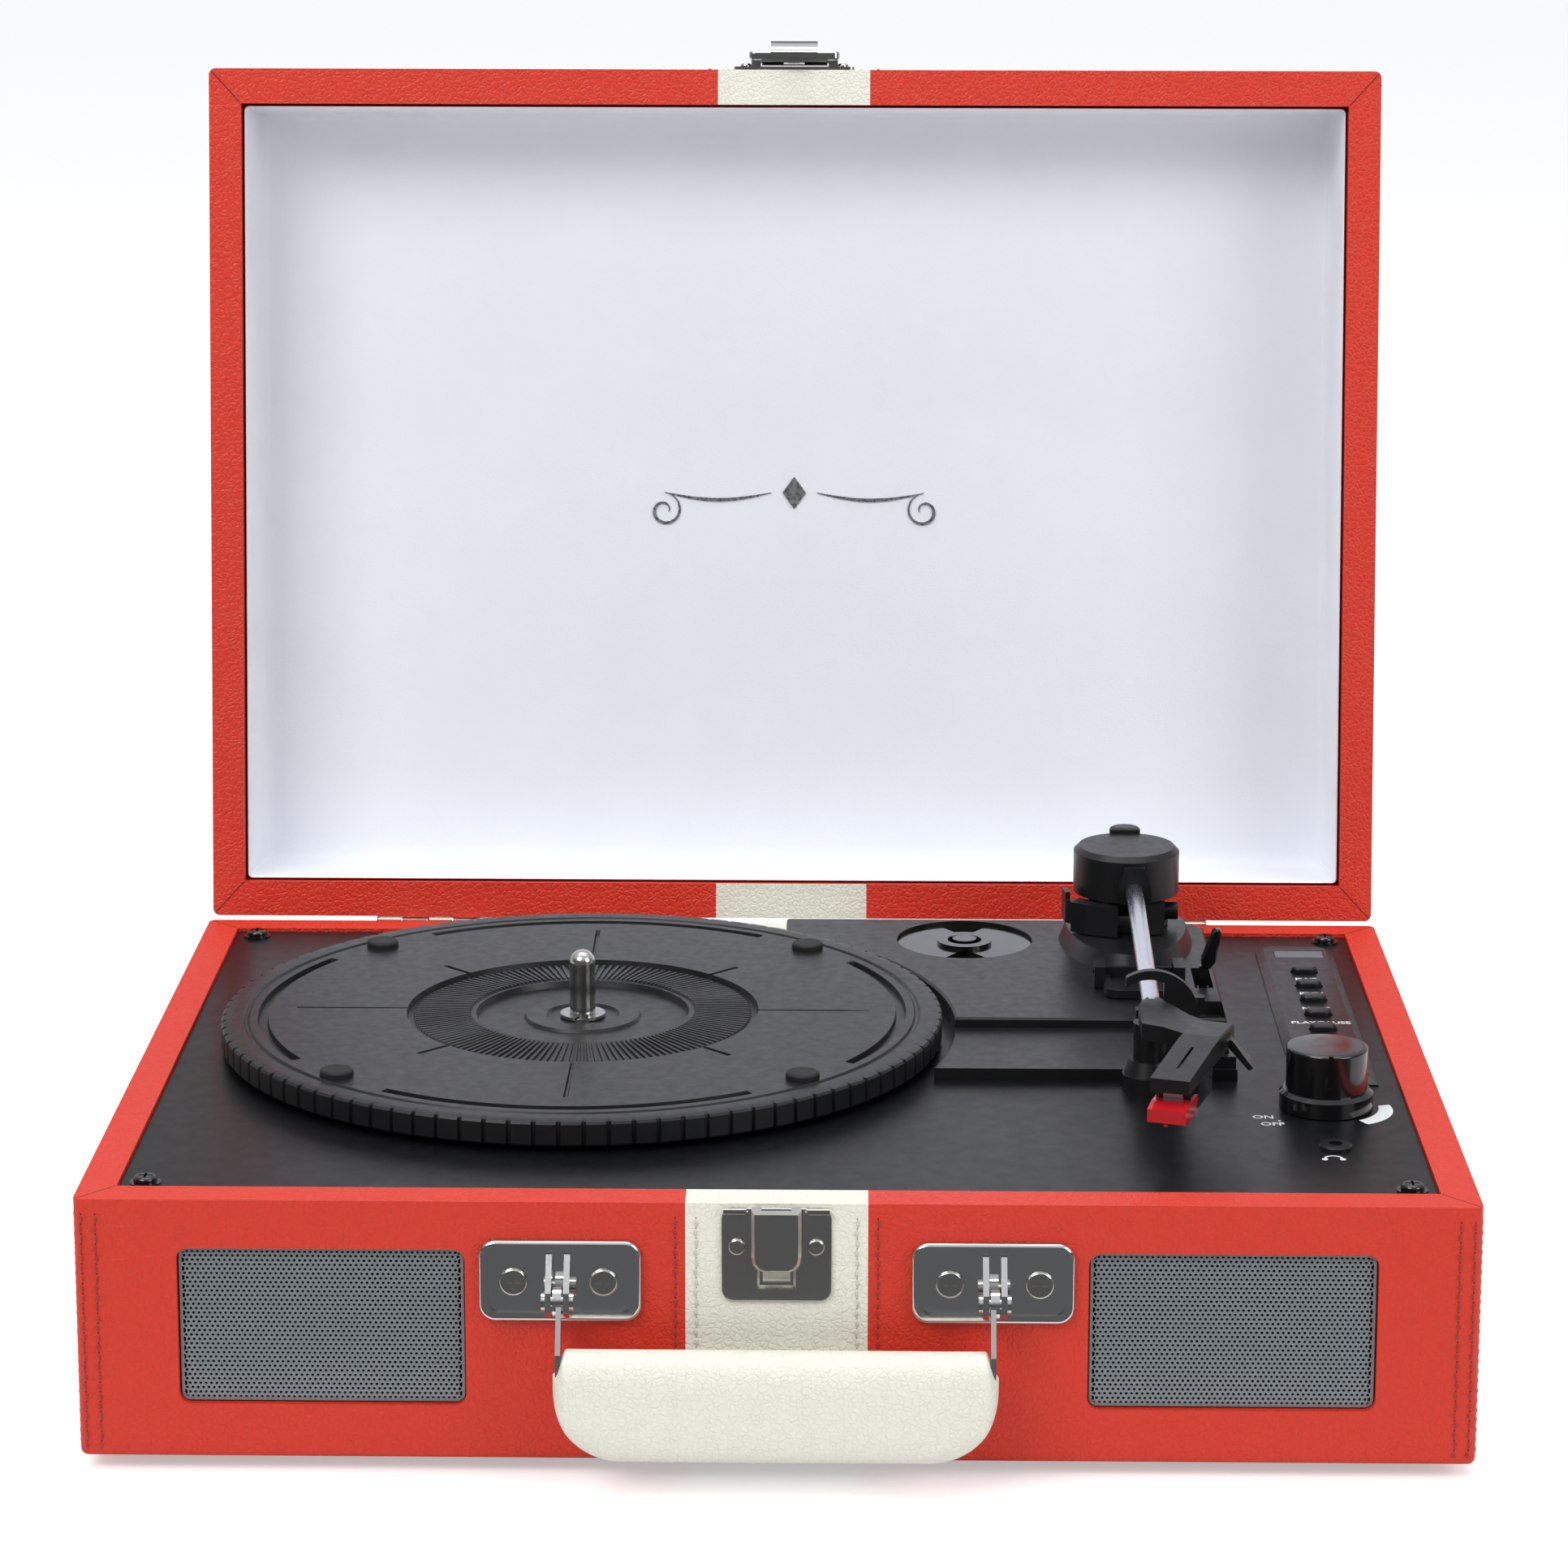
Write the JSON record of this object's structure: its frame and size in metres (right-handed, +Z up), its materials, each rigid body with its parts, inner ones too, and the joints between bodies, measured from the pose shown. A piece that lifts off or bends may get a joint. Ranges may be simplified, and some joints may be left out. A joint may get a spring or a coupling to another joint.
{
  "type": "suitcase record player",
  "caption": "Portable record player in a hinged leather-look case, with lined lid, carrying handle, belt-driven platter, tonearm, front speakers and side controls.",
  "frame": {"origin": "on the ground under the middle of the open player's box", "axes": "+X to the player's right, +Y from the handle to the hinges, +Z up"},
  "size_m": [0.35, 0.36, 0.3321],
  "materials": {
    "red_leather": "grained vinyl",
    "cream_leather": "grained vinyl",
    "lining": "smooth lining board",
    "deck": "speckled satin",
    "black_plastic": "satin",
    "gloss_black": "gloss",
    "platter_grey": "satin",
    "rubber": "matt",
    "chrome": "polished",
    "nickel": "satin",
    "steel": "brushed",
    "aluminium": "satin",
    "stylus_red": "translucent gloss",
    "grille": "perforated plate",
    "paper_cone": "matt",
    "board_green": "resist",
    "led": "smoked window"
  },
  "bodies": {
    "chassis": {"base_case": "red_leather", "base_cream_band": "cream_leather", "rubber_feet": "rubber", "motor_board": "deck", "deck_screws": "gloss_black", "tonearm_platform": "black_plastic", "adapter_45": "gloss_black", "speaker_grilles": "grille", "speakers": "paper_cone", "latch_plate": "nickel", "front_screws": "nickel", "handle_brackets": "chrome", "handle_pins": "nickel", "base_hinge_leaves": "nickel", "spindle": "nickel", "spindle_clip": "steel", "drive_motor": "steel", "drive_belt": "rubber", "tonearm_pedestal": "black_plastic", "arm_rest": "black_plastic", "volume_pot": "steel", "control_strip": "black_plastic", "led_window": "led", "circuit_board": "board_green", "headphone_jack": "black_plastic", "rear_plate": "black_plastic", "rear_sockets": "nickel"},
    "latch": {"latch_slider": "nickel"},
    "handle": {"handle_grip": "cream_leather", "handle_straps": "chrome"},
    "lid": {"lid_shell": "red_leather", "lid_lining": "lining", "lid_cream_band": "cream_leather", "lid_hinge_leaves": "nickel", "hasp_plate": "nickel", "hasp_fasteners": "nickel"},
    "hasp": {"hasp_flap": "chrome"},
    "platter": {"platter": "platter_grey", "platter_pads": "rubber"},
    "pulley": {"motor_pulley": "steel"},
    "yoke": {"arm_yoke": "black_plastic"},
    "arm": {"arm_pivot_pin": "steel", "arm_cap": "black_plastic", "arm_tube": "aluminium", "headshell": "black_plastic", "cartridge": "gloss_black", "cartridge_clip": "steel", "stylus": "stylus_red"},
    "lift": {"lift_tray": "black_plastic"},
    "lever": {"cue_lever": "gloss_black"},
    "clip": {"arm_clip": "black_plastic"},
    "speed": {"speed_switch": "black_plastic"},
    "auto_stop": {"auto_stop_slider": "black_plastic"},
    "knob": {"volume_knob": "gloss_black"},
    "button_1_body": {"button_1": "black_plastic"},
    "button_2_body": {"button_2": "black_plastic"},
    "button_3_body": {"button_3": "black_plastic"},
    "button_4_body": {"button_4": "black_plastic"},
    "button_5_body": {"button_5": "black_plastic"}
  },
  "joints": [
    {"name": "lid_hinge", "type": "hinge", "parent": "chassis", "child": "lid", "pos_m": [0, 0.09835, 0.069], "axis": [1, 0, 0], "range_deg": [0, 98]},
    {"name": "hasp_hinge", "type": "hinge", "parent": "lid", "child": "hasp", "pos_m": [0, 0.15255, 0.32535], "axis": [-1, 0, 0], "range_deg": [0, 100]},
    {"name": "latch_slide", "type": "slide", "parent": "chassis", "child": "latch", "axis": [0, 0, -1], "range_m": [0, 0.005], "stiffness_N_per_m": 200},
    {"name": "handle_hinge", "type": "hinge", "parent": "chassis", "child": "handle", "pos_m": [0, -0.16665, 0.0486], "axis": [-1, 0, 0], "range_deg": [0, 100]},
    {"name": "platter_spin", "type": "hinge", "parent": "chassis", "child": "platter", "pos_m": [-0.056, -0.01965, 0.077], "axis": [0, 0, 1], "continuous": true},
    {"name": "pulley_spin", "type": "hinge", "parent": "chassis", "child": "pulley", "pos_m": [-0.11257, -0.07622, 0.074], "axis": [0, 0, 1], "continuous": true},
    {"name": "arm_swing", "type": "hinge", "parent": "chassis", "child": "yoke", "pos_m": [0.0985, 0.06235, 0.084], "axis": [0, 0, -1], "range_deg": [0, 45]},
    {"name": "arm_tilt", "type": "hinge", "parent": "yoke", "child": "arm", "pos_m": [0.0985, 0.06235, 0.088], "axis": [-1, 0, 0], "range_deg": [0, 1.2]},
    {"name": "cue_lever_tilt", "type": "hinge", "parent": "chassis", "child": "lever", "pos_m": [0.1182, 0.01835, 0.074], "axis": [-1, 0, 0], "range_deg": [0, 45]},
    {"name": "lift_rise", "type": "slide", "parent": "chassis", "child": "lift", "axis": [0, 0, 1], "range_m": [0, 0.002]},
    {"name": "clip_turn", "type": "hinge", "parent": "chassis", "child": "clip", "pos_m": [0.1055, -0.05245, 0.089], "axis": [0, 1, 0], "range_deg": [0, 90]},
    {"name": "speed_slide", "type": "slide", "parent": "chassis", "child": "speed", "axis": [1, 0, 0], "range_m": [-0.002, 0.004]},
    {"name": "auto_stop_slide", "type": "slide", "parent": "chassis", "child": "auto_stop", "axis": [0, 1, 0], "range_m": [0, 0.004]},
    {"name": "volume_turn", "type": "hinge", "parent": "chassis", "child": "knob", "pos_m": [0.1439, -0.07665, 0.08], "axis": [0, 0, -1], "range_deg": [0, 300]},
    {"name": "button_1_press", "type": "slide", "parent": "chassis", "child": "button_1_body", "axis": [0, 0, -1], "range_m": [0, 0.001], "stiffness_N_per_m": 500},
    {"name": "button_2_press", "type": "slide", "parent": "chassis", "child": "button_2_body", "axis": [0, 0, -1], "range_m": [0, 0.001], "stiffness_N_per_m": 500},
    {"name": "button_3_press", "type": "slide", "parent": "chassis", "child": "button_3_body", "axis": [0, 0, -1], "range_m": [0, 0.001], "stiffness_N_per_m": 500},
    {"name": "button_4_press", "type": "slide", "parent": "chassis", "child": "button_4_body", "axis": [0, 0, -1], "range_m": [0, 0.001], "stiffness_N_per_m": 500},
    {"name": "button_5_press", "type": "slide", "parent": "chassis", "child": "button_5_body", "axis": [0, 0, -1], "range_m": [0, 0.001], "stiffness_N_per_m": 500}
  ],
  "couplings": [
    {"joint": "pulley_spin", "follows": "platter_spin", "ratio": 14},
    {"joint": "cue_lever_tilt", "follows": "lift_rise", "rad_per_m": 392.31}
  ]
}
